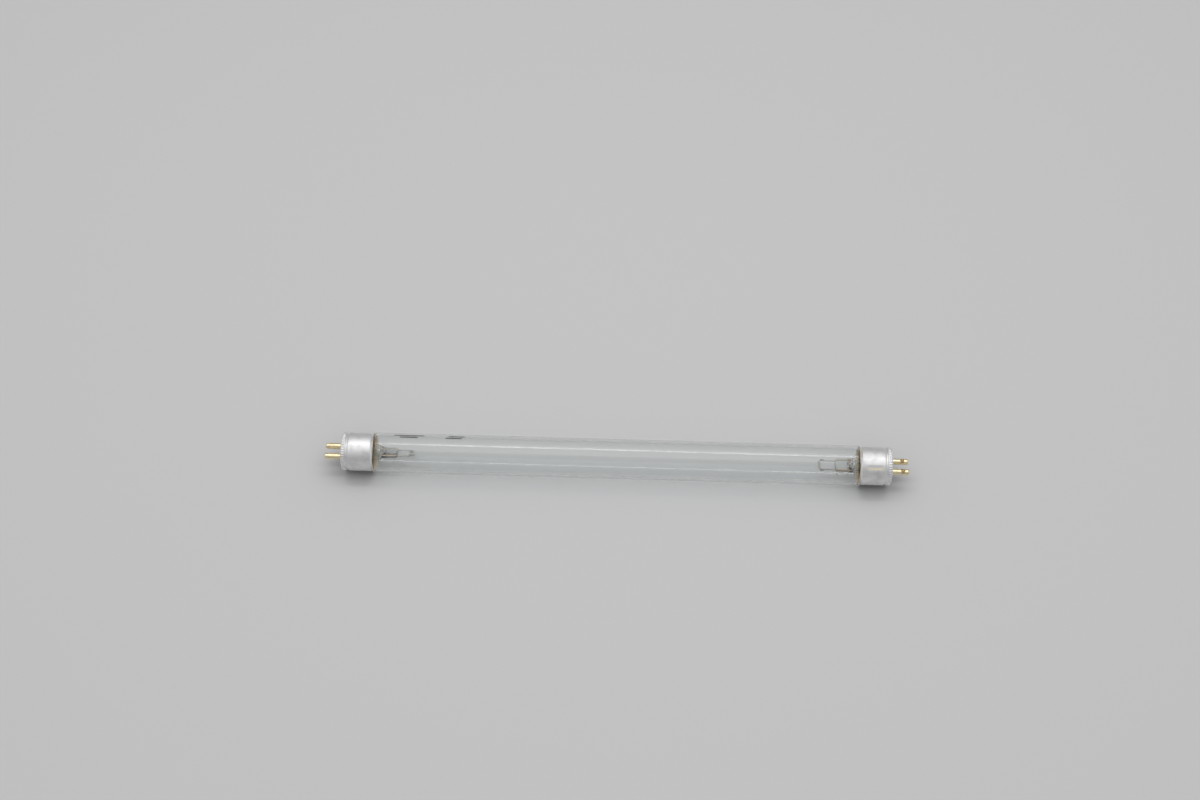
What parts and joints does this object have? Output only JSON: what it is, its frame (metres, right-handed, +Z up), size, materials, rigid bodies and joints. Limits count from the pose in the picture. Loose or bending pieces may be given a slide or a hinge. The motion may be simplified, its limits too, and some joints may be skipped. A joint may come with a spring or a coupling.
{
  "type": "ultraviolet tube lamp",
  "caption": "Straight clear-glass ultraviolet tube lamp with satin aluminium end caps, brass bi-pin contacts and a coiled electrode on a glass stem sealed inside each end.",
  "frame": {"origin": "middle of the lamp, on its axis", "axes": "+X along the lamp towards the right base, +Y from the front pins to the rear pins, +Z up"},
  "size_m": [0.2264, 0.0158, 0.0158],
  "materials": {
    "clear_glass": "clear, polished",
    "stem_glass": "clear, fire polished",
    "cap_aluminium": "satin",
    "pin_brass": "plain, slightly dulled",
    "disc_phenolic": "satin laminate",
    "basing_cement": "matte, baked",
    "lead_nickel": "satin",
    "coated_tungsten": "matte oxide coating",
    "mercury": "liquid, mirror"
  },
  "bodies": {
    "root": {"glass_tube": "clear_glass", "mercury_droplets": "mercury", "end_cap_left": "cap_aluminium", "base_disc_left": "disc_phenolic", "basing_cement_left": "basing_cement", "stem_left": "stem_glass", "exhaust_tube_left": "stem_glass", "electrode_coil_left": "coated_tungsten", "contact_pin_left_front": "pin_brass", "lead_wire_left_front": "lead_nickel", "contact_pin_left_rear": "pin_brass", "lead_wire_left_rear": "lead_nickel", "end_cap_right": "cap_aluminium", "base_disc_right": "disc_phenolic", "basing_cement_right": "basing_cement", "stem_right": "stem_glass", "exhaust_tube_right": "stem_glass", "electrode_coil_right": "coated_tungsten", "contact_pin_right_front": "pin_brass", "lead_wire_right_front": "lead_nickel", "contact_pin_right_rear": "pin_brass", "lead_wire_right_rear": "lead_nickel"}
  },
  "joints": []
}
